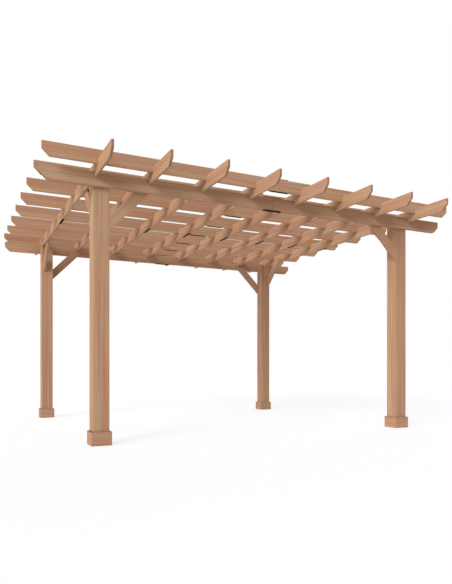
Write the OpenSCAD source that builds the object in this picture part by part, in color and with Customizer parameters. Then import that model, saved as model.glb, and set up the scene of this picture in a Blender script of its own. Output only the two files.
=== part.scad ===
// Timber pergola: four posts with plinth collars carry two beams, and rafters and purlins
// are notched down over each other above them. Every long board is two halves, butted at
// mid-length and held by flat plates. X runs along the beams, Y along the rafters.

/* [Posts] */
// Side of each square post
post_w = 140; // [90:5:200]
// Distance between post centres along the beams
post_span_x = 3346; // [2900:2:3600]
// Distance between post centres along the rafters
post_span_y = 2892; // [2500:2:3200]

/* [Plinths] */
// Height of the collar boards round each foot
plinth_h = 118; // [60:1:250]
// Thickness of the collar boards
plinth_t = 18; // [10:1:30]

/* [Boards] */
// Height of the boards that rafters and purlins are cut from
board_h = 118; // [95:1:150]
// Thickness of the rafters and purlins
board_t = 22; // [16:1:45]
// Height of the beams
beam_h = 122; // [95:1:150]
// Thickness of the beams
beam_t = 38; // [22:1:60]
// How far each layer is notched down over the one below
lap = 48; // [20:1:80]
// Height and depth of the 45 degree cut under every board end
end_cut = 60; // [20:1:90]

/* [Roof] */
// Height of the purlins' top edges above the ground
roof_h = 2450; // [2200:10:2900]
// Length of the beams and purlins
roof_l = 4375; // [4000:5:4800]
// Length of the rafters
roof_w = 4192; // [3800:2:4600]
// Distance between the rafters that stand between the posts
rafter_step = 502; // [400:1:550]
// Distance between the purlins, apart from the first and last
purlin_step = 484; // [400:1:540]
// Distance from the rafters' ends to the first and last purlin
purlin_inset = 430; // [350:1:480]

/* [Knee braces] */
// Thickness of the braces
brace_t = 28; // [22:1:50]
// Width of the braces across the grain
brace_w = 94; // [60:1:120]
// Drop of a beam brace's lower tip below the beam
brace_drop = 355; // [250:1:500]
// Drop of a rafter brace's lower tip below the rafter
rafter_brace_drop = 342; // [250:1:500]
// How far a brace laps up beside the board that it props
brace_lap = 36; // [10:1:45]

/* [Splice plates] */
// Length of the plates over each mid-length butt joint
plate_l = 200; // [120:5:300]
// Thickness of the plates
plate_t = 5; // [3:0.5:8]

/* [Hidden] */
// Free room on each side of a board in its notch
notch_clear = 0.5;
// Saw gap left between the two halves of a spliced board
splice_gap = 1;
// Room that each collar board gives up along its mitres
mitre_gap = 0.3;
// Overrun of every cut past the faces that it passes through
overrun = 2;

inner_rafters = 6;
rafter_count = inner_rafters + 2;
inner_purlins = 6;
purlin_count = inner_purlins + 2;

// Undersides and tops of the three layers, from the roof downwards
purlin_z = roof_h - board_h;
rafter_top = purlin_z + lap;
rafter_z = rafter_top - board_h;
beam_top = rafter_z + lap;
beam_z = beam_top - beam_h;

// Post centres and the outer faces that the beams and end rafters line up with
post_x = post_span_x / 2;
post_y = post_span_y / 2;
outer_x = post_x + post_w / 2;
outer_y = post_y + post_w / 2;
beam_y = outer_y + beam_t / 2;
end_rafter_x = outer_x - board_t / 2;
end_purlin_y = roof_w / 2 - purlin_inset;

// Rafter and purlin places, from left to right and from front to back
inner_xs = [for (i = [1 : inner_rafters]) (i - (inner_rafters + 1) / 2) * rafter_step];
rafter_xs = [-end_rafter_x, each inner_xs, end_rafter_x];
inner_ys = [for (i = [1 : inner_purlins]) (i - (inner_purlins + 1) / 2) * purlin_step];
purlin_ys = [-end_purlin_y, each inner_ys, end_purlin_y];

// Height of post that a brace's plumb cut covers
brace_foot = brace_w * sqrt(2);

wood = "#b58d70";
weathered = "#a98468";
blackened = "#1d1a18";

// Name and the X and Y side of each corner
corners = [
    ["front_left", -1, -1],
    ["front_right", 1, -1],
    ["back_left", -1, 1],
    ["back_right", 1, 1],
];
// Name and the Y side of each beam
beam_sides = [["front_beam", -1], ["back_beam", 1]];

// Mirrors what is drawn for the back right corner into another corner
module in_corner(c) {
    mirror([c[1] < 0 ? 1 : 0, 0, 0])
        mirror([0, c[2] < 0 ? 1 : 0, 0])
            children();
}

// Side view of a board with both lower end corners cut off
module board_outline(length, height) {
    end = length / 2;
    polygon([
        [-end, height],
        [-end, end_cut],
        [-end + end_cut, 0],
        [end - end_cut, 0],
        [end, end_cut],
        [end, height],
    ]);
}

// Notches in a board's underside, one over each crossing board
module notches(places, crossing_t, thick) {
    width = crossing_t + 2 * notch_clear;
    for (place = places)
        translate([place - width / 2, -thick / 2 - overrun, -overrun])
            cube([width, thick + 2 * overrun, lap + overrun]);
}

// A board along X on its underside, in two halves, notched where asked
module spliced_board(length, height, thick, places, crossing_t) {
    difference() {
        rotate([90, 0, 0])
            linear_extrude(thick, center = true)
                board_outline(length, height);
        translate([-splice_gap / 2, -thick / 2 - overrun, -overrun])
            cube([splice_gap, thick + 2 * overrun, height + 2 * overrun]);
        notches(places, crossing_t, thick);
    }
}

// The plates over and under one butt joint, for a board on its underside
module plate_pair(height, thick) {
    for (z = [-plate_t, height])
        translate([-plate_l / 2, -thick / 2, z])
            cube([plate_l, thick, plate_t]);
}

// Side view of a brace: plumb cut at the post, level cut at the top, 45 degrees between
module brace_outline(drop) {
    reach = drop + brace_lap;
    polygon([
        [0, 0],
        [reach, reach],
        [reach - brace_foot, reach],
        [0, brace_foot],
    ]);
}

module post(c) {
    color(wood)
        in_corner(c)
            translate([post_x - post_w / 2, post_y - post_w / 2, 0])
                cube([post_w, post_w, rafter_z]);
}

// Four mitred boards round a post's foot
module plinth(c) {
    inner = post_w / 2;
    outer = inner + plinth_t;
    color(weathered)
        in_corner(c)
            translate([post_x, post_y, 0])
                for (turn = [0 : 90 : 270])
                    rotate([0, 0, turn])
                        linear_extrude(plinth_h)
                            polygon([
                                [-inner + mitre_gap, inner],
                                [inner - mitre_gap, inner],
                                [outer - mitre_gap, outer],
                                [-outer + mitre_gap, outer],
                            ]);
}

module beam(side) {
    color(wood)
        translate([0, side * beam_y, beam_z])
            spliced_board(roof_l, beam_h, beam_t, [], 0);
}

module rafter(i) {
    color(wood)
        translate([rafter_xs[i - 1], 0, rafter_z])
            rotate([0, 0, 90])
                spliced_board(roof_w, board_h, board_t, [-beam_y, beam_y], beam_t);
}

module purlin(i) {
    color(wood)
        translate([0, purlin_ys[i - 1], purlin_z])
            spliced_board(roof_l, board_h, board_t, rafter_xs, board_t);
}

// Props a beam from the post's inner side, against the beam's inner face
module beam_brace(c) {
    color(weathered)
        in_corner(c)
            translate([post_x - post_w / 2, outer_y - brace_t, beam_z - brace_drop])
                rotate([90, 0, 180])
                    linear_extrude(brace_t)
                        brace_outline(brace_drop);
}

// Props an end rafter from the post's inner side, against the rafter's inner face
module rafter_brace(c) {
    color(weathered)
        in_corner(c)
            translate([outer_x - board_t, post_y - post_w / 2, rafter_z - rafter_brace_drop])
                rotate([90, 0, -90])
                    linear_extrude(brace_t)
                        brace_outline(rafter_brace_drop);
}

module beam_splice_plates() {
    color(blackened)
        for (b = beam_sides)
            translate([0, b[1] * beam_y, beam_z])
                plate_pair(beam_h, beam_t);
}

module rafter_splice_plates() {
    color(blackened)
        for (x = rafter_xs)
            translate([x, 0, rafter_z])
                rotate([0, 0, 90])
                    plate_pair(board_h, board_t);
}

module purlin_splice_plates() {
    color(blackened)
        for (y = purlin_ys)
            translate([0, y, purlin_z])
                plate_pair(board_h, board_t);
}

for (c = corners) post(c);
for (c = corners) plinth(c);
for (b = beam_sides) beam(b[1]);
for (i = [1 : rafter_count]) rafter(i);
for (i = [1 : purlin_count]) purlin(i);
for (c = corners) beam_brace(c);
for (c = corners) rafter_brace(c);
beam_splice_plates();
rafter_splice_plates();
purlin_splice_plates();
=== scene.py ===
"""Dresses the timber pergola: planed cedar, black splice plates, screws and a white studio."""

import math

import bmesh
import bpy
from mathutils import Matrix, Vector


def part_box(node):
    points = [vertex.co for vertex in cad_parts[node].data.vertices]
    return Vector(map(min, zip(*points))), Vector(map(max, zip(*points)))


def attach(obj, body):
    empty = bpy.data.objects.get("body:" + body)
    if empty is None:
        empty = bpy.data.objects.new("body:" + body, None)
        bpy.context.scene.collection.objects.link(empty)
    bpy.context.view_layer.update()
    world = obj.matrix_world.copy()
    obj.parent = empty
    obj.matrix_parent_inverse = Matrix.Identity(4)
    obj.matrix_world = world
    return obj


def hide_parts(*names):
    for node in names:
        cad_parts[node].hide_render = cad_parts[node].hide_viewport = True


bl_info = {
    "name": "Timber pergola",
    "version": (1, 0, 0),
    "blender": (4, 5, 0),
    "location": "3D View > Sidebar > Pergola",
    "description": "Finishes the timbers, splice plates and screws of an open cedar pergola",
    "category": "Object",
}

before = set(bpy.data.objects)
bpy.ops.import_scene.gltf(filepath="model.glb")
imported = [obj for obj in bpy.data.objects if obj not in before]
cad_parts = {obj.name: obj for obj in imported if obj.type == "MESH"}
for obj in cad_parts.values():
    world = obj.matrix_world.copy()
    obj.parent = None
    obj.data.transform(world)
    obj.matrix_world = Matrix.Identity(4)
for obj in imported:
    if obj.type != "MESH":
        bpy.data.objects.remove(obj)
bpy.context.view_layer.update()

# Every corner's name, with the X and Y side that it stands on
CORNERS = {
    "front_left": (-1, -1),
    "front_right": (1, -1),
    "back_left": (-1, 1),
    "back_right": (1, 1),
}
BEAMS = {"front_beam": -1, "back_beam": 1}
# Rafters are counted from the left, purlins from the front
BOARDS = range(1, 9)
RAFTERS = [f"rafter_{place}" for place in BOARDS]
PURLINS = [f"purlin_{place}" for place in BOARDS]

# Turns that lay the grain of each kind of timber along the pattern's own X
QUARTER = math.pi / 2
EIGHTH = math.pi / 4
ALONG_X = (0.0, 0.0, 0.0)
ALONG_Y = (0.0, 0.0, -QUARTER)
UPRIGHT = (0.0, QUARTER, 0.0)
# The same for the braces, by the axis that they reach along and the side that they stand on
BRACE_GRAIN = {
    (0, -1): ("planed_cedar_left_braces", (0.0, EIGHTH, 0.0)),
    (0, 1): ("planed_cedar_right_braces", (0.0, 3 * EIGHTH, 0.0)),
    (1, -1): ("planed_cedar_front_braces", (EIGHTH, QUARTER, 0.0)),
    (1, 1): ("planed_cedar_back_braces", (-EIGHTH, QUARTER, 0.0)),
}

# How far apart in the log the planks for the two halves of a spliced board lie, in metres
PLANK_STEP = (0.0, 3.7, 5.3)
# Streaks of each colour, by their share of the timber's streak length and streak width
PALE_STREAK = (1.0, 1.0)
ROSE_STREAK = (1.5, 1.8)
HONEY_STREAK = (0.8, 1.3)
BROWN_STREAK = (0.5, 0.4)
STREAK_DETAIL = 2.0
# Length along the grain and width across it in metres, and detail, of the slow drift in tone,
# the growth rings' wander and the fibres. Fibres are about 0.05 mm wide, and are drawn at
# 1.2 mm to show.
DRIFT = (2.5, 0.3, 1.0)
WANDER = (0.9, 0.1, 1.0)
FIBRE = (0.08, 0.0012, 3.0)
# Slant of the growth rings in a plank, how many rings they wander across, and how steeply
# each one darkens into its thin line of late wood
RING_SLANT = (0.0, 0.45, 0.89)
RING_WANDER = 14.0
LATE_WOOD_RISE = 3.0
# Range of the rose streaks over which the edges' bleaching grows, from its least to all of it
BLEACH_RANGE = (0.3, 0.6)
LEAST_BLEACH = 0.2
# Relief of the planed face: the late wood's height against the fibres', strength, and depth
# in metres
LATE_WOOD_RELIEF = 0.5
WOOD_BUMP = 0.35
WOOD_DEPTH = 0.0006
# Roughness of oiled wood from its smoothest to its dullest, and its low gloss
OILED_ROUGHNESS = (0.70, 0.90)
OILED_GLOSS = 0.02

# Roughness and gloss of the three coats on the steel. Powder is sprayed on and baked to a matt
# skin. Black oxide grows in a hot salt bath and is oiled, so it is thin and satin. The tan coat
# is dipped and cured, so it is satin too, with a weaker highlight.
POWDER_COAT = (0.8, 0.0)
BLACK_OXIDE = (0.5, 0.15)
TAN_COAT = (0.55, 0.1)
# Distance between the dimples in a coat and width of the patches of dust on it, in metres
DIMPLE = 0.001
DUST_PATCH = 0.04
DIMPLE_DETAIL = 1.0
DUST_DETAIL = 3.0
# Strength of the dimples, and their depth in metres
DIMPLE_BUMP = 0.2
DIMPLE_DEPTH = 0.0002
# How far a coat's roughness strays, the range of the patches over which dust comes in, and the
# share that it covers at most
COAT_STRAY = 0.08
DUST_RANGE = (0.5, 0.8)
MOST_DUST = 0.10

# Index of refraction of the oil and the coats
FILM_IOR = 1.5
# Range that noise seldom leaves
NOISE_RANGE = (0.3, 0.7)
# Mix has sockets of one name for each type of value, so they are found by number
MIX_SHARE = 0
VECTOR_A, VECTOR_B, MIXED_VECTOR = 4, 5, 1
COLOUR_A, COLOUR_B, MIXED_COLOUR = 6, 7, 2

# Rings of each kind of head from its hidden end to its drive: share of the head's radius,
# height in metres over the surface, and how deeply the drive's lobes cut in
DOMED_HEAD = (
    (0.90, -0.0010, 0.0), (1.00, 0.0000, 0.0), (0.98, 0.0002, 0.0), (0.80, 0.0006, 0.0),
    (0.46, 0.0008, 0.14), (0.40, -0.0002, 0.14),
)
FLAT_HEAD = (
    (0.55, -0.0045, 0.0), (1.00, -0.0007, 0.0), (0.96, -0.0003, 0.0), (0.50, -0.0003, 0.14),
    (0.44, -0.0020, 0.14),
)
NAIL_HEAD = ((0.90, -0.0010, 0.0), (1.00, 0.0002, 0.0), (0.85, 0.0006, 0.0), (0.40, 0.0008, 0.0))
HEAD_STEPS = 24
DRIVE_LOBES = 6

# How near two vertices of a packed timber are joined, in metres
WELD_GAP = 0.00002
# Steps round an eased edge, the least angle of an edge that is eased, and how much the large
# faces count in its shading
EDGE_STEPS = 2
EDGE_ANGLE = math.radians(30)
FACE_WEIGHT = 100

# Places of a splice plate's screws along it, in metres from its middle
PLATE_HOLES = (-0.074, -0.028, 0.028, 0.074)
# Size of a plate's countersunk hole at its mouth and at the wood, as shares of the screw's head
HOLE_ROOM = 1.04
SHANK_SHARE = 0.55
# Width taken off the plates' sharp edges, in metres
PLATE_EDGE = 0.0005
# Directions from a hole's middle to the plate's rim, towards one end and towards one side
END_RAYS = [math.radians(angle) for angle in range(-45, 46, 15)]
SIDE_RAYS = [math.radians(angle) for angle in range(60, 121, 15)]
# Steps round a plate's corner, from the end to the side
CORNER_TURNS = [math.radians(angle) for angle in (90, 60, 30, 0)]

# Places of the screws and nails in the timber, in metres
NAIL_SPREAD = 0.045
NAIL_INSET = 0.030
BEAM_SCREW_SPREAD = 0.035
BEAM_SCREW_INSET = 0.030
BRACE_HEAD_REACH = (0.270, 0.330)
BRACE_HEAD_INSET = 0.018
BRACE_FOOT_RISE = (0.036, 0.058)

# How far the studio floor lies under the posts' feet, in metres, and the sides of its outline
FLOOR_GAP = 0.0005
FLOOR_SIDES = 96
# Width of the camera's sensor in millimetres, and how far it sees in metres
SENSOR = 36
FAR_CLIP = 200


def linear(colour):
    """Turns an sRGB hex colour into linear red, green, blue and alpha."""
    channels = [int(colour[i:i + 2], 16) / 255 for i in (1, 3, 5)]
    return [c / 12.92 if c <= 0.04045 else ((c + 0.055) / 1.055) ** 2.4 for c in channels] + [1.0]


WHITE = linear("#ffffff")


def middle(node):
    """Centre of a CAD node's box."""
    low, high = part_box(node)
    return (Vector(low) + Vector(high)) / 2


class PergolaTimber(bpy.types.PropertyGroup):
    """Colours and grain of the cedar."""

    heart: bpy.props.FloatVectorProperty(
        name="Heartwood", description="Tan that most of the wood shows",
        subtype="COLOR", size=4, min=0, max=1, default=linear("#bd9477"))
    rose: bpy.props.FloatVectorProperty(
        name="Rose streaks", description="Pinkish streaks in the heartwood",
        subtype="COLOR", size=4, min=0, max=1, default=linear("#ba8a76"))
    honey: bpy.props.FloatVectorProperty(
        name="Honey streaks", description="Orange-brown streaks in the heartwood",
        subtype="COLOR", size=4, min=0, max=1, default=linear("#c18e66"))
    pale: bpy.props.FloatVectorProperty(
        name="Pale streaks", description="Straw-coloured streaks of early wood",
        subtype="COLOR", size=4, min=0, max=1, default=linear("#c3a483"))
    late: bpy.props.FloatVectorProperty(
        name="Late wood", description="Thin brown line that closes each growth ring",
        subtype="COLOR", size=4, min=0, max=1, default=linear("#8f6549"))
    end: bpy.props.FloatVectorProperty(
        name="End grain", description="Darker brown of the sawn ends, which drink more oil",
        subtype="COLOR", size=4, min=0, max=1, default=linear("#95694c"))
    # Painted shade: dark brown painted on the plinths' narrow tops for the shade where they meet
    # the post
    painted_ledge_shade: bpy.props.FloatVectorProperty(
        name="Soaked ledge", description="Dark brown of the plinths' tops, where rain lies",
        subtype="COLOR", size=4, min=0, max=1, default=linear("#553d2e"))
    worn: bpy.props.FloatVectorProperty(
        name="Worn edge", description="Bleached wood along the handled edges",
        subtype="COLOR", size=4, min=0, max=1, default=linear("#cbb197"))
    ring: bpy.props.FloatProperty(
        name="Growth ring", description="Distance between growth rings",
        unit="LENGTH", min=0.001, default=0.004)
    streak: bpy.props.FloatProperty(
        name="Streak width", description="Width of the colour streaks across the grain",
        unit="LENGTH", min=0.002, default=0.024)
    streak_run: bpy.props.FloatProperty(
        name="Streak length", description="Length of the colour streaks along the grain",
        unit="LENGTH", min=0.05, default=1.1)
    figure: bpy.props.FloatVectorProperty(
        name="Figure", description="Place in the log that the planks are sawn from",
        subtype="TRANSLATION", size=3, default=(6.85, 3.655, 2.085))
    arris: bpy.props.FloatProperty(
        name="Eased edge", description="Width taken off every timber edge",
        unit="LENGTH", min=0.0005, default=0.0016)


class PergolaFixings(bpy.types.PropertyGroup):
    """Plates, screws and nails."""

    plate: bpy.props.FloatVectorProperty(
        name="Plate coat", description="Black of the powder coat on the splice plates",
        subtype="COLOR", size=4, min=0, max=1, default=linear("#110f0e"))
    oxide: bpy.props.FloatVectorProperty(
        name="Plate screws", description="Black oxide of the splice plates' screws",
        subtype="COLOR", size=4, min=0, max=1, default=linear("#1c1a18"))
    tan: bpy.props.FloatVectorProperty(
        name="Screw coat", description="Tan of the coated timber screws",
        subtype="COLOR", size=4, min=0, max=1, default=linear("#b08b6c"))
    dust: bpy.props.FloatVectorProperty(
        name="Dust", description="Grey-brown dust that dulls the coats in patches",
        subtype="COLOR", size=4, min=0, max=1, default=linear("#8a7c70"))
    head: bpy.props.FloatProperty(
        name="Screw head", description="Radius of the screws' heads",
        unit="LENGTH", min=0.002, default=0.0048)
    nail: bpy.props.FloatProperty(
        name="Nail head", description="Radius of the nails in the plinth boards",
        unit="LENGTH", min=0.001, default=0.0024)
    corner: bpy.props.FloatProperty(
        name="Plate corner", description="Rounding of the splice plates' corners",
        unit="LENGTH", min=0.001, max=0.006, default=0.004)


class PergolaStage(bpy.types.PropertyGroup):
    """Camera, lamps and floor."""

    stand: bpy.props.FloatVectorProperty(
        name="Camera place", description="Where the camera stands",
        subtype="TRANSLATION", size=3, default=(-2.835, -6.155, 0.667))
    heading: bpy.props.FloatProperty(
        name="Camera heading", description="Turn of the level camera from Y to X",
        subtype="ANGLE", default=0.43454)
    lens: bpy.props.FloatProperty(
        name="Lens", description="Focal length on a 36 mm sensor",
        unit="CAMERA", min=10, default=34.1)
    shift: bpy.props.FloatVectorProperty(
        name="Lens shift", description="Shift of the picture that keeps the uprights parallel",
        size=2, default=(0.0320, 0.1287))
    sun_heading: bpy.props.FloatProperty(
        name="Sun heading", description="Turn of the sun's way over the ground from Y to X",
        subtype="ANGLE", default=math.radians(53))
    sun_height: bpy.props.FloatProperty(
        name="Sun height", description="Height of the sun above the horizon",
        subtype="ANGLE", default=math.radians(26))
    sun_spread: bpy.props.FloatProperty(
        name="Sun spread", description="Width of the sun, which softens its shadows",
        subtype="ANGLE", default=math.radians(26))
    sun_power: bpy.props.FloatProperty(
        name="Sun strength", description="Light of the sun on a face square to it",
        min=0, default=1.57)
    fill_heading: bpy.props.FloatProperty(
        name="Fill heading", description="Turn of the left lamp's way from Y to X",
        subtype="ANGLE", default=math.radians(70))
    fill_height: bpy.props.FloatProperty(
        name="Fill height", description="Height of the left lamp above the horizon",
        subtype="ANGLE", default=math.radians(2))
    fill_spread: bpy.props.FloatProperty(
        name="Fill spread", description="Width of the left lamp",
        subtype="ANGLE", default=math.radians(70))
    fill_power: bpy.props.FloatProperty(
        name="Fill strength", description="Light of the left lamp on a face square to it",
        min=0, default=2.33)
    back_heading: bpy.props.FloatProperty(
        name="Back heading", description="Turn of the back lamp's way from Y to X",
        subtype="ANGLE", default=math.radians(215))
    back_height: bpy.props.FloatProperty(
        name="Back height", description="Height of the back lamp above the horizon",
        subtype="ANGLE", default=math.radians(25))
    back_spread: bpy.props.FloatProperty(
        name="Back spread", description="Width of the back lamp",
        subtype="ANGLE", default=math.radians(60))
    back_power: bpy.props.FloatProperty(
        name="Back strength", description="Light of the back lamp on a face square to it",
        min=0, default=0.8)
    sky_power: bpy.props.FloatProperty(
        name="Sky strength", description="Even light from all round",
        min=0, default=0.365)
    floor: bpy.props.FloatProperty(
        name="Floor radius", description="Radius of the studio floor",
        unit="LENGTH", min=5, default=60)
    glow: bpy.props.FloatProperty(
        name="Floor glow", description="White that the floor shows even in the shadow",
        min=0, max=1, default=0.745)
    veil: bpy.props.FloatVectorProperty(
        name="Floor veil", description="Grey that lamplight lifts to white outside the shadow",
        subtype="COLOR", size=4, min=0, max=1, default=linear("#9b9b9b"))
    paper: bpy.props.FloatVectorProperty(
        name="Floor paper", description="Pale floor that throws light back up at the pergola",
        subtype="COLOR", size=4, min=0, max=1, default=linear("#ededed"))


def add(tree, kind, inputs, **settings):
    """Adds a node of that kind with its settings, and feeds its inputs by value or by link."""
    made = tree.nodes.new(kind)
    for name, value in settings.items():
        setattr(made, name, value)
    for name, value in inputs.items():
        if isinstance(value, bpy.types.NodeSocket):
            tree.links.new(value, made.inputs[name])
        else:
            made.inputs[name].default_value = value
    return made


def bare_material(name):
    """A new material with an empty node tree and its output."""
    material = bpy.data.materials.new(name)
    material.use_nodes = True
    tree = material.node_tree
    tree.nodes.clear()
    return material, tree, tree.nodes.new("ShaderNodeOutputMaterial")


def mitred_grain(tree, place, vector):
    """A place or direction in a plinth board's own axes, with X along the grain.

    The boards run round the post, so X and Y trade places on two of its sides.
    """
    apart = add(tree, "ShaderNodeVectorMath", {0: place}, operation="ABSOLUTE")
    post = middle("back_right_post")
    apart = add(tree, "ShaderNodeVectorMath",
                {0: apart.outputs["Vector"], 1: (post.x, post.y, 0)}, operation="SUBTRACT")
    apart = add(tree, "ShaderNodeVectorMath", {0: apart.outputs["Vector"]}, operation="ABSOLUTE")
    apart = add(tree, "ShaderNodeSeparateXYZ", {"Vector": apart.outputs["Vector"]})
    side = add(tree, "ShaderNodeMath", {0: apart.outputs["X"], 1: apart.outputs["Y"]},
               operation="GREATER_THAN")
    parts = add(tree, "ShaderNodeSeparateXYZ", {"Vector": vector})
    traded = add(tree, "ShaderNodeCombineXYZ",
                 {"X": parts.outputs["Y"], "Y": parts.outputs["X"], "Z": parts.outputs["Z"]})
    return add(tree, "ShaderNodeMix",
               {MIX_SHARE: side.outputs[0], VECTOR_A: vector, VECTOR_B: traded.outputs["Vector"]},
               data_type="VECTOR").outputs[MIXED_VECTOR]


def cedar(name, turn=None):
    """Western red cedar, sawn with the grain, planed and oiled.

    Planing leaves a smooth face where thin brown late wood lines follow the grain. The heartwood
    drifts between tan, straw and rose in long streaks. Oil leaves a low, broken sheen, and the
    sawn ends soak it up and turn darker. Without a turn the grain runs round a mitred plinth.
    """
    if name in bpy.data.materials:
        return bpy.data.materials[name]
    timber = bpy.context.scene.pergola_timber
    material, tree, output = bare_material(name)

    place = add(tree, "ShaderNodeTexCoord", {}).outputs["Object"]
    facing = add(tree, "ShaderNodeNewGeometry", {}).outputs["True Normal"]
    if turn is None:
        grain, facing = (mitred_grain(tree, place, vector) for vector in (place, facing))
    else:
        grain, facing = (
            add(tree, "ShaderNodeMapping", {"Vector": vector, "Rotation": turn},
                vector_type="VECTOR").outputs["Vector"] for vector in (place, facing))

    # The two halves of a spliced board come from different planks
    along = add(tree, "ShaderNodeSeparateXYZ", {"Vector": grain}).outputs["X"]
    half = add(tree, "ShaderNodeMath", {0: along, 1: 0.0}, operation="GREATER_THAN").outputs[0]
    sawn = add(tree, "ShaderNodeVectorMath", {0: grain, 1: timber.figure}, operation="ADD")
    plank = add(tree, "ShaderNodeVectorMath",
                {0: half, 1: PLANK_STEP, 2: sawn.outputs["Vector"]},
                operation="MULTIPLY_ADD").outputs["Vector"]

    def streaks(length, width, detail):
        """Noise drawn out along the grain, with streaks of that length and width."""
        drawn = add(tree, "ShaderNodeMapping",
                    {"Vector": plank, "Scale": (1 / length, 1 / width, 1 / width)})
        return add(tree, "ShaderNodeTexNoise",
                   {"Vector": drawn.outputs["Vector"], "Scale": 1.0, "Detail": detail}).outputs[0]

    pale, rose, honey, brown = (
        streaks(run * timber.streak_run, width * timber.streak, STREAK_DETAIL)
        for run, width in (PALE_STREAK, ROSE_STREAK, HONEY_STREAK, BROWN_STREAK))
    drift = streaks(*DRIFT)
    fibre = streaks(*FIBRE)

    # Growth rings cross the plank at a slant and wander along it
    wander = streaks(*WANDER)
    rings = add(tree, "ShaderNodeVectorMath",
                {0: plank, 1: [share / timber.ring for share in RING_SLANT]},
                operation="DOT_PRODUCT").outputs["Value"]
    rings = add(tree, "ShaderNodeMath", {0: wander, 1: RING_WANDER, 2: rings},
                operation="MULTIPLY_ADD").outputs[0]
    rings = add(tree, "ShaderNodeMath", {0: rings}, operation="FRACT").outputs[0]
    late = add(tree, "ShaderNodeMath", {0: rings, 1: LATE_WOOD_RISE},
               operation="POWER").outputs[0]

    # Handling and weather bleach the long edges here and there, where the face turns the corner
    turned = add(tree, "ShaderNodeSeparateXYZ", {"Vector": facing})
    edge = add(tree, "ShaderNodeMath",
               {0: turned.outputs["Y"], 1: turned.outputs["Z"]}, operation="MULTIPLY").outputs[0]
    edge = add(tree, "ShaderNodeMath", {0: edge}, operation="ABSOLUTE").outputs[0]
    rubbed = add(tree, "ShaderNodeMapRange",
                 {"Value": rose, "From Min": BLEACH_RANGE[0], "From Max": BLEACH_RANGE[1],
                  "To Min": LEAST_BLEACH, "To Max": 1.0}).outputs[0]
    edge = add(tree, "ShaderNodeMath", {0: edge, 1: rubbed}, operation="MULTIPLY").outputs[0]
    # Square and slanting saw cuts both show end grain
    across = add(tree, "ShaderNodeMath", {0: turned.outputs["X"]},
                 operation="ABSOLUTE").outputs[0]

    # Each layer over the heartwood: its pattern, the part of the pattern's range over which the
    # layer comes in, the share that it covers at most, and its colour
    layers = (
        (rose, 0.40, 0.60, 1.00, timber.rose),
        (honey, 0.46, 0.66, 0.80, timber.honey),
        (pale, 0.44, 0.64, 0.90, timber.pale),
        (brown, 0.42, 0.70, 0.22, timber.late),
        (drift, 0.35, 0.65, 0.12, timber.late),
        (late, 0.00, 1.00, 0.32, timber.late),
        (edge, 0.10, 0.30, 0.70, timber.worn),
        (across, 0.45, 0.65, 0.60, timber.end),
    )
    if turn is None:
        # Painted shade: the plinths' narrow tops are darkened for the shade in the corner where
        # they meet the post
        layers += ((turned.outputs["Z"], 0.60, 0.90, 0.85, timber.painted_ledge_shade),)
    colour = timber.heart
    for pattern, low, high, most, tint in layers:
        share = add(tree, "ShaderNodeMapRange",
                    {"Value": pattern, "From Min": low, "From Max": high,
                     "To Min": 0.0, "To Max": most})
        colour = add(tree, "ShaderNodeMix",
                     {MIX_SHARE: share.outputs[0], COLOUR_A: colour, COLOUR_B: tint},
                     data_type="RGBA").outputs[MIXED_COLOUR]

    height = add(tree, "ShaderNodeMath", {0: late, 1: LATE_WOOD_RELIEF, 2: fibre},
                 operation="MULTIPLY_ADD")
    bump = add(tree, "ShaderNodeBump",
               {"Strength": WOOD_BUMP, "Distance": WOOD_DEPTH, "Height": height.outputs[0]})
    dull = add(tree, "ShaderNodeMapRange",
               {"Value": fibre, "From Min": NOISE_RANGE[0], "From Max": NOISE_RANGE[1],
                "To Min": OILED_ROUGHNESS[0], "To Max": OILED_ROUGHNESS[1]})
    shader = add(tree, "ShaderNodeBsdfPrincipled",
                 {"Base Color": colour, "Roughness": dull.outputs[0],
                  "Normal": bump.outputs["Normal"], "IOR": FILM_IOR,
                  "Specular IOR Level": OILED_GLOSS})
    tree.links.new(shader.outputs["BSDF"], output.inputs["Surface"])
    return material


def coated_steel(name, colour, roughness, gloss):
    """Steel under a thin coat of that roughness and gloss.

    The coat's skin isn't quite even: fine dimples break up its highlight, as in orange peel, and
    dust dulls it in patches.
    """
    if name in bpy.data.materials:
        return bpy.data.materials[name]
    material, tree, output = bare_material(name)
    place = add(tree, "ShaderNodeTexCoord", {}).outputs["Object"]
    peel = add(tree, "ShaderNodeTexNoise",
               {"Vector": place, "Scale": 1 / DIMPLE, "Detail": DIMPLE_DETAIL})
    patch = add(tree, "ShaderNodeTexNoise",
                {"Vector": place, "Scale": 1 / DUST_PATCH, "Detail": DUST_DETAIL})
    dull = add(tree, "ShaderNodeMapRange",
               {"Value": patch.outputs[0], "From Min": NOISE_RANGE[0], "From Max": NOISE_RANGE[1],
                "To Min": roughness - COAT_STRAY, "To Max": roughness + COAT_STRAY})
    dust = add(tree, "ShaderNodeMapRange",
               {"Value": patch.outputs[0], "From Min": DUST_RANGE[0], "From Max": DUST_RANGE[1],
                "To Min": 0.0, "To Max": MOST_DUST})
    coat = add(tree, "ShaderNodeMix",
               {MIX_SHARE: dust.outputs[0], COLOUR_A: colour,
                COLOUR_B: bpy.context.scene.pergola_fixings.dust}, data_type="RGBA")
    bump = add(tree, "ShaderNodeBump",
               {"Strength": DIMPLE_BUMP, "Distance": DIMPLE_DEPTH, "Height": peel.outputs[0]})
    shader = add(tree, "ShaderNodeBsdfPrincipled",
                 {"Base Color": coat.outputs[MIXED_COLOUR], "Roughness": dull.outputs[0],
                  "Normal": bump.outputs["Normal"], "IOR": FILM_IOR,
                  "Specular IOR Level": gloss})
    tree.links.new(shader.outputs["BSDF"], output.inputs["Surface"])
    return material


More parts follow.
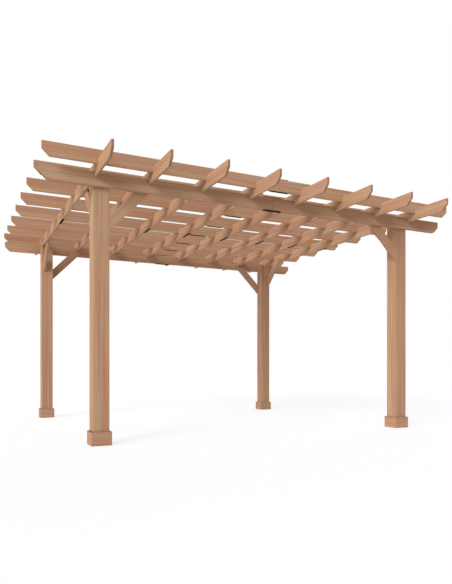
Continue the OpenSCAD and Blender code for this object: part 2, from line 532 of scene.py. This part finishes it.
def finish_timber(node, material):
    """Gives a CAD timber its wood and eases its edges."""
    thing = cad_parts[node]
    thing.data.materials.clear()
    thing.data.materials.append(material)
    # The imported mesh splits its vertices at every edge, so they are joined before the bevel
    weld = thing.modifiers.new("joined_faces", "WELD")
    weld.merge_threshold = WELD_GAP
    arris = thing.modifiers.new("eased_edges", "BEVEL")
    arris.width = bpy.context.scene.pergola_timber.arris
    arris.segments = EDGE_STEPS
    arris.limit_method = "ANGLE"
    arris.angle_limit = EDGE_ANGLE
    even = thing.modifiers.new("flat_faces", "WEIGHTED_NORMAL")
    even.weight = FACE_WEIGHT


def stud_head(mesh, place, facing, radius, profile):
    """Adds a screw's or nail's closed head to a mesh, seated on a surface that faces that way."""
    seat = Matrix.Translation(place) @ Vector(facing).to_track_quat("Z", "Y").to_matrix().to_4x4()
    rings = []
    for share, height, lobes in profile:
        ring = []
        for step in range(HEAD_STEPS):
            angle = 2 * math.pi * step / HEAD_STEPS
            reach = radius * share * (1 + lobes * math.cos(DRIVE_LOBES * angle))
            spot = (reach * math.cos(angle), reach * math.sin(angle), height)
            ring.append(mesh.verts.new(seat @ Vector(spot)))
        rings.append(ring)
    for lower, upper in zip(rings, rings[1:]):
        for step in range(HEAD_STEPS):
            after = (step + 1) % HEAD_STEPS
            mesh.faces.new((lower[step], lower[after], upper[after], upper[step]))
    mesh.faces.new(rings[0][::-1])
    mesh.faces.new(rings[-1])


def splice_plate(mesh, seat, length, width, thick, corner, hole):
    """Adds a plate with rounded corners and countersunk holes to a mesh, flat on its seat."""
    half = width / 2
    made, cones = [], []

    def column(x, reach):
        """Points straight across the plate, as far as that reach."""
        return [mesh.verts.new((x, reach * math.tan(angle), 0)) for angle in END_RAYS]

    def join(left, right):
        """Faces between two columns, or between two rings of points."""
        for step in range(len(left) - 1):
            corners = (left[step], right[step], right[step + 1], left[step + 1])
            made.append(mesh.faces.new(corners))

    def end(side):
        """Columns of a rounded end, from the end inwards."""
        return [column(side * (length / 2 - corner * (1 - math.sin(turn))),
                       half - corner * (1 - math.cos(turn))) for turn in CORNER_TURNS]

    start = end(-1)
    for left, right in zip(start, start[1:]):
        join(left, right)
    last = start[-1]
    for x in PLATE_HOLES:
        left, right = column(x - half, half), column(x + half, half)
        join(last, left)
        last = right
        above = [mesh.verts.new((x + half / math.tan(angle), half, 0)) for angle in SIDE_RAYS]
        below = [mesh.verts.new((x - half / math.tan(angle), -half, 0)) for angle in SIDE_RAYS]
        outer = right + above + left[::-1] + below
        turns = [END_RAYS[0] + 2 * math.pi * step / len(outer) for step in range(len(outer))]
        ring = [mesh.verts.new((x + hole * math.cos(turn), hole * math.sin(turn), 0))
                for turn in turns]
        join(ring + ring[:1], outer + outer[:1])
        cones.append((x, ring))
    finish = end(1)[::-1]
    join(last, finish[0])
    for left, right in zip(finish, finish[1:]):
        join(left, right)

    grown = bmesh.ops.extrude_face_region(mesh, geom=made)["geom"]
    top = [part for part in grown if isinstance(part, bmesh.types.BMVert)]
    bmesh.ops.translate(mesh, verts=top, vec=(0, 0, thick))
    # Each hole narrows to the screw's shank at the wood
    for x, ring in cones:
        for vert in ring:
            vert.co.x = x + SHANK_SHARE * (vert.co.x - x)
            vert.co.y *= SHANK_SHARE
    bottom = {vert for face in made for vert in face.verts}
    bmesh.ops.transform(mesh, matrix=seat, verts=list(bottom) + top)


def place_piece(name, mesh, material):
    """Turns a bmesh into a named metal piece of the pergola."""
    bmesh.ops.recalc_face_normals(mesh, faces=mesh.faces)
    data = bpy.data.meshes.new(name)
    mesh.to_mesh(data)
    mesh.free()
    data.materials.append(material)
    piece = bpy.data.objects.new(name, data)
    bpy.context.scene.collection.objects.link(piece)
    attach(piece, "root")
    return piece


def drive_screws(name, seats, radius, profile):
    """One piece that holds a coated screw at each seat, given as a place and a direction."""
    fixings = bpy.context.scene.pergola_fixings
    mesh = bmesh.new()
    for place, facing in seats:
        stud_head(mesh, place, facing, radius, profile)
    place_piece(name, mesh, coated_steel("tan_coated_steel", fixings.tan, *TAN_COAT))


class PERGOLA_OT_posts(bpy.types.Operator):
    """Finish the four square posts"""

    bl_idname = "pergola.posts"
    bl_label = "Posts"

    def execute(self, context):
        for corner in CORNERS:
            finish_timber(f"{corner}_post", cedar("planed_cedar_upright", UPRIGHT))
        return {"FINISHED"}


class PERGOLA_OT_plinths(bpy.types.Operator):
    """Finish the plinth boards and nail them to the posts"""

    bl_idname = "pergola.plinths"
    bl_label = "Plinths"

    def execute(self, context):
        fixings = context.scene.pergola_fixings
        seats = []
        for corner in CORNERS:
            node = f"{corner}_plinth"
            finish_timber(node, cedar("planed_cedar_mitred"))
            low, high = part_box(node)
            centre = middle(node)
            half = (high[0] - low[0]) / 2
            for side in range(4):
                turn = Matrix.Rotation(side * QUARTER, 4, "Z")
                for shift in (-NAIL_SPREAD, NAIL_SPREAD):
                    for level in (low[2] + NAIL_INSET, high[2] - NAIL_INSET):
                        spot = turn @ Vector((shift, -half, 0))
                        place = (centre.x + spot.x, centre.y + spot.y, level)
                        seats.append((place, turn @ Vector((0, -1, 0))))
        drive_screws("plinth_nails", seats, fixings.nail, NAIL_HEAD)
        return {"FINISHED"}


class PERGOLA_OT_beams(bpy.types.Operator):
    """Finish the two beams and screw them to the posts"""

    bl_idname = "pergola.beams"
    bl_label = "Beams"

    def execute(self, context):
        fixings = context.scene.pergola_fixings
        seats = []
        for node, side in BEAMS.items():
            finish_timber(node, cedar("planed_cedar_lengthways", ALONG_X))
            low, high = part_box(node)
            face = low[1] if side < 0 else high[1]
            for corner in ("back_left_post", "back_right_post"):
                for shift in (-BEAM_SCREW_SPREAD, BEAM_SCREW_SPREAD):
                    for level in (low[2] + BEAM_SCREW_INSET, high[2] - BEAM_SCREW_INSET):
                        seats.append(((middle(corner).x + shift, face, level), (0, side, 0)))
        drive_screws("beam_screws", seats, fixings.head, DOMED_HEAD)
        return {"FINISHED"}


class PERGOLA_OT_rafters(bpy.types.Operator):
    """Finish the eight rafters and screw them down to the beams"""

    bl_idname = "pergola.rafters"
    bl_label = "Rafters"

    def execute(self, context):
        fixings = context.scene.pergola_fixings
        seats = []
        for node in RAFTERS:
            finish_timber(node, cedar("planed_cedar_crossways", ALONG_Y))
            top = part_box(node)[1][2]
            for beam in BEAMS:
                seats.append(((middle(node).x, middle(beam).y, top), (0, 0, 1)))
        drive_screws("rafter_screws", seats, fixings.head, DOMED_HEAD)
        return {"FINISHED"}


class PERGOLA_OT_purlins(bpy.types.Operator):
    """Finish the eight purlins and screw them down to the rafters"""

    bl_idname = "pergola.purlins"
    bl_label = "Purlins"

    def execute(self, context):
        fixings = context.scene.pergola_fixings
        seats = []
        for node in PURLINS:
            finish_timber(node, cedar("planed_cedar_lengthways", ALONG_X))
            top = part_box(node)[1][2]
            for rafter in RAFTERS:
                seats.append(((middle(rafter).x, middle(node).y, top), (0, 0, 1)))
        drive_screws("purlin_screws", seats, fixings.head, DOMED_HEAD)
        return {"FINISHED"}


class PERGOLA_OT_braces(bpy.types.Operator):
    """Finish the eight knee braces and screw both their ends"""

    bl_idname = "pergola.braces"
    bl_label = "Knee braces"

    def execute(self, context):
        seats = []
        for corner, sides in CORNERS.items():
            for axis, kind in enumerate(("beam", "rafter")):
                node = f"{corner}_{kind}_brace"
                finish_timber(node, cedar(*BRACE_GRAIN[axis, sides[axis]]))
                seats += self.seats(node, axis, sides[axis], sides[1 - axis])
        drive_screws("brace_screws", seats, context.scene.pergola_fixings.head, DOMED_HEAD)
        return {"FINISHED"}

    @staticmethod
    def seats(node, axis, side, other):
        """Two screws into the board beside the brace's head, two up through its foot."""
        low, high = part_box(node)
        flat = 1 - axis
        foot = high[axis] if side > 0 else low[axis]
        inner = low[flat] if other > 0 else high[flat]
        core = (low[flat] + high[flat]) / 2
        seats = []
        for reach in BRACE_HEAD_REACH:
            place, facing = [0, 0, high[2] - BRACE_HEAD_INSET], [0, 0, 0]
            place[axis] = foot - side * reach
            place[flat] = inner
            facing[flat] = -other
            seats.append((place, facing))
        for rise in BRACE_FOOT_RISE:
            place, facing = [0, 0, low[2] + rise], [0, 0, -1]
            place[axis] = foot - side * rise
            place[flat] = core
            facing[axis] = -side
            seats.append((place, facing))
        return seats


class PERGOLA_OT_plates(bpy.types.Operator):
    """Make the splice plates over and under every butt joint, and screw them down"""

    bl_idname = "pergola.plates"
    bl_label = "Splice plates"

    def execute(self, context):
        fixings = context.scene.pergola_fixings
        coat = coated_steel("black_powder_coated_steel", fixings.plate, *POWDER_COAT)
        screws = bmesh.new()
        for kind, boards, turn in (("beam", BEAMS, 0.0), ("rafter", RAFTERS, QUARTER),
                                   ("purlin", PURLINS, 0.0)):
            node = f"{kind}_splice_plates"
            plates = bmesh.new()
            for board in boards:
                self.pair(plates, screws, node, board, turn)
            piece = place_piece(f"{kind}_plates", plates, coat)
            rim = piece.modifiers.new("broken_edges", "BEVEL")
            rim.width = PLATE_EDGE
            rim.segments = EDGE_STEPS
            rim.limit_method = "ANGLE"
            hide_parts(node)
        oxide = coated_steel("black_oxide_steel", fixings.oxide, *BLACK_OXIDE)
        place_piece("plate_screws", screws, oxide)
        return {"FINISHED"}

    @staticmethod
    def pair(plates, screws, node, board, turn):
        """The plates on the top and underside of one board, with their screws."""
        fixings = bpy.context.scene.pergola_fixings
        low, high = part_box(board)
        reach_low, reach_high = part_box(node)
        along, over = (1, 0) if turn else (0, 1)
        length = reach_high[along] - reach_low[along]
        thick = reach_high[2] - high[2]
        for level, up in ((high[2], 0.0), (low[2], math.pi)):
            spot = middle(board)
            spot.z = level
            seat = (Matrix.Translation(spot) @ Matrix.Rotation(turn, 4, "Z")
                    @ Matrix.Rotation(up, 4, "X"))
            splice_plate(plates, seat, length, high[over] - low[over], thick, fixings.corner,
                         HOLE_ROOM * fixings.head)
            facing = seat.to_3x3() @ Vector((0, 0, 1))
            for x in PLATE_HOLES:
                stud_head(screws, seat @ Vector((x, 0, thick)), facing, fixings.head, FLAT_HEAD)


class PERGOLA_OT_stage(bpy.types.Operator):
    """Set out the white floor, the sky, the lamps and the camera"""

    bl_idname = "pergola.stage"
    bl_label = "Stage"

    def execute(self, context):
        scene = context.scene
        stage = scene.pergola_stage
        scene.view_settings.view_transform = "Standard"
        self.floor(scene, stage)
        self.sky(scene, stage)
        self.lamp(scene, "soft_sun", stage.sun_power, stage.sun_spread, stage.sun_heading,
                  stage.sun_height)
        self.lamp(scene, "broad_fill", stage.fill_power, stage.fill_spread, stage.fill_heading,
                  stage.fill_height)
        self.lamp(scene, "back_fill", stage.back_power, stage.back_spread, stage.back_heading,
                  stage.back_height)
        self.camera(scene, stage)
        return {"FINISHED"}

    @staticmethod
    def seen_directly(tree):
        """1 for rays from the camera, a mirror or glass, and 0 for rays that carry light."""
        path = add(tree, "ShaderNodeLightPath", {})
        seen = path.outputs["Is Camera Ray"]
        for kind in ("Is Glossy Ray", "Is Transmission Ray"):
            seen = add(tree, "ShaderNodeMath", {0: seen, 1: path.outputs[kind]},
                       operation="MAXIMUM").outputs[0]
        return seen

    def floor(self, scene, stage):
        """A pale floor that shows white, apart from the pergola's faint shadow."""
        mesh = bmesh.new()
        bmesh.ops.create_circle(mesh, cap_ends=True, segments=FLOOR_SIDES, radius=stage.floor,
                                matrix=Matrix.Translation((0, 0, -FLOOR_GAP)))
        data = bpy.data.meshes.new("studio_floor")
        mesh.to_mesh(data)
        mesh.free()
        floor = bpy.data.objects.new("studio_floor", data)
        scene.collection.objects.link(floor)
        material, tree, output = bare_material("white_studio_floor")
        glow = add(tree, "ShaderNodeEmission", {"Color": WHITE, "Strength": stage.glow})
        veil = add(tree, "ShaderNodeBsdfDiffuse", {"Color": stage.veil})
        white = add(tree, "ShaderNodeAddShader", {0: glow.outputs[0], 1: veil.outputs[0]})
        paper = add(tree, "ShaderNodeBsdfDiffuse", {"Color": stage.paper})
        both = add(tree, "ShaderNodeMixShader",
                   {0: self.seen_directly(tree), 1: paper.outputs[0], 2: white.outputs[0]})
        tree.links.new(both.outputs[0], output.inputs["Surface"])
        data.materials.append(material)

    def sky(self, scene, stage):
        """Even white light from all round."""
        world = bpy.data.worlds.new("studio_sky")
        world.use_nodes = True
        tree = world.node_tree
        tree.nodes.clear()
        light = add(tree, "ShaderNodeBackground", {"Color": WHITE, "Strength": stage.sky_power})
        white = add(tree, "ShaderNodeBackground", {"Color": WHITE, "Strength": 1.0})
        both = add(tree, "ShaderNodeMixShader",
                   {0: self.seen_directly(tree), 1: light.outputs[0], 2: white.outputs[0]})
        output = add(tree, "ShaderNodeOutputWorld", {"Surface": both.outputs[0]})
        output.is_active_output = True
        scene.world = world

    @staticmethod
    def lamp(scene, name, power, spread, heading, height):
        """A far lamp of that width, whose light runs that way over the ground and downwards."""
        lamp = bpy.data.lights.new(name, "SUN")
        lamp.energy = power
        lamp.angle = spread
        thing = bpy.data.objects.new(name, lamp)
        level = math.cos(height)
        way = Vector((level * math.sin(heading), level * math.cos(heading), -math.sin(height)))
        thing.rotation_euler = way.to_track_quat("-Z", "Y").to_euler()
        scene.collection.objects.link(thing)

    @staticmethod
    def camera(scene, stage):
        """A level camera, shifted to take in the roof."""
        view = bpy.data.cameras.new("photo_view")
        view.sensor_width = SENSOR
        view.lens = stage.lens
        view.shift_x, view.shift_y = stage.shift
        view.clip_end = FAR_CLIP
        camera = bpy.data.objects.new("photo_view", view)
        camera.location = stage.stand
        camera.rotation_euler = (QUARTER, 0, -stage.heading)
        scene.collection.objects.link(camera)
        scene.camera = camera


GROUPS = (PergolaTimber, PergolaFixings, PergolaStage)
STEPS = (
    PERGOLA_OT_posts,
    PERGOLA_OT_plinths,
    PERGOLA_OT_beams,
    PERGOLA_OT_rafters,
    PERGOLA_OT_purlins,
    PERGOLA_OT_braces,
    PERGOLA_OT_plates,
    PERGOLA_OT_stage,
)


class PERGOLA_PT_sidebar(bpy.types.Panel):
    """Sizes, colours and steps of the pergola"""

    bl_idname = "PERGOLA_PT_sidebar"
    bl_label = "Pergola"
    bl_space_type = "VIEW_3D"
    bl_region_type = "UI"
    bl_category = "Pergola"

    def draw(self, context):
        scene = context.scene
        for title, group in (("Timber", scene.pergola_timber), ("Fixings", scene.pergola_fixings),
                             ("Stage", scene.pergola_stage)):
            box = self.layout.box()
            box.label(text=title)
            for name in group.__annotations__:
                box.prop(group, name)
        for step in STEPS:
            self.layout.operator(step.bl_idname)


def register():
    for made in GROUPS + STEPS + (PERGOLA_PT_sidebar,):
        bpy.utils.register_class(made)
    bpy.types.Scene.pergola_timber = bpy.props.PointerProperty(type=PergolaTimber)
    bpy.types.Scene.pergola_fixings = bpy.props.PointerProperty(type=PergolaFixings)
    bpy.types.Scene.pergola_stage = bpy.props.PointerProperty(type=PergolaStage)


def unregister():
    del bpy.types.Scene.pergola_stage
    del bpy.types.Scene.pergola_fixings
    del bpy.types.Scene.pergola_timber
    for made in reversed(GROUPS + STEPS + (PERGOLA_PT_sidebar,)):
        bpy.utils.unregister_class(made)


def main():
    register()
    for step in (bpy.ops.pergola.posts, bpy.ops.pergola.plinths, bpy.ops.pergola.beams,
                 bpy.ops.pergola.rafters, bpy.ops.pergola.purlins, bpy.ops.pergola.braces,
                 bpy.ops.pergola.plates, bpy.ops.pergola.stage):
        step()


if __name__ == "__main__":
    main()
